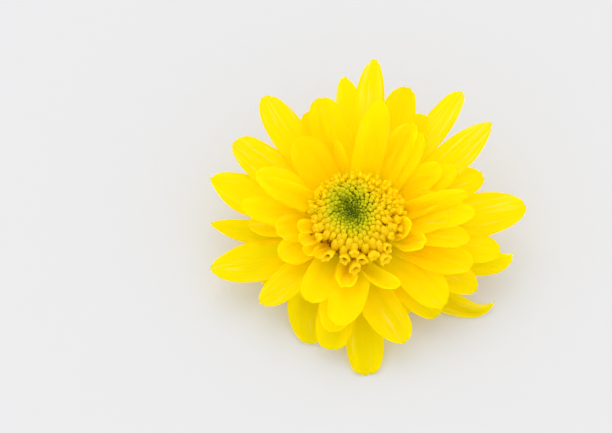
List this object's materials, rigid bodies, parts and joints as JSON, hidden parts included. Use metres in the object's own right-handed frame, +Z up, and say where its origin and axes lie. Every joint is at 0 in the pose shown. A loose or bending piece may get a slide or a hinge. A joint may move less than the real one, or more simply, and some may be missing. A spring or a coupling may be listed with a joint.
{
  "type": "chrysanthemum flower head",
  "caption": "Cut yellow spray chrysanthemum head with layered petals round an open, greenish floret disc, lying face up.",
  "frame": {"origin": "bottom centre of the bounding box, on the surface the head lies on", "axes": "+Z up; the head faces up and leans 10 degrees forward, towards -Y; +X is its right side seen from the front"},
  "size_m": [0.0618, 0.058, 0.0243],
  "materials": {
    "stalk": "fresh green stalk, finely ribbed, with a paler cut end",
    "bracts": "matt green bracts with pale papery edges",
    "petals": "satin lemon yellow petals with fine lengthwise veins",
    "florets": "waxy golden tube florets, some open",
    "buds": "waxy lime buds, dark green in the middle"
  },
  "bodies": {
    "root": {"peduncle": "stalk", "involucre": "bracts", "ray_florets": "petals", "disc_florets": "florets", "disc_buds": "buds"}
  },
  "joints": []
}
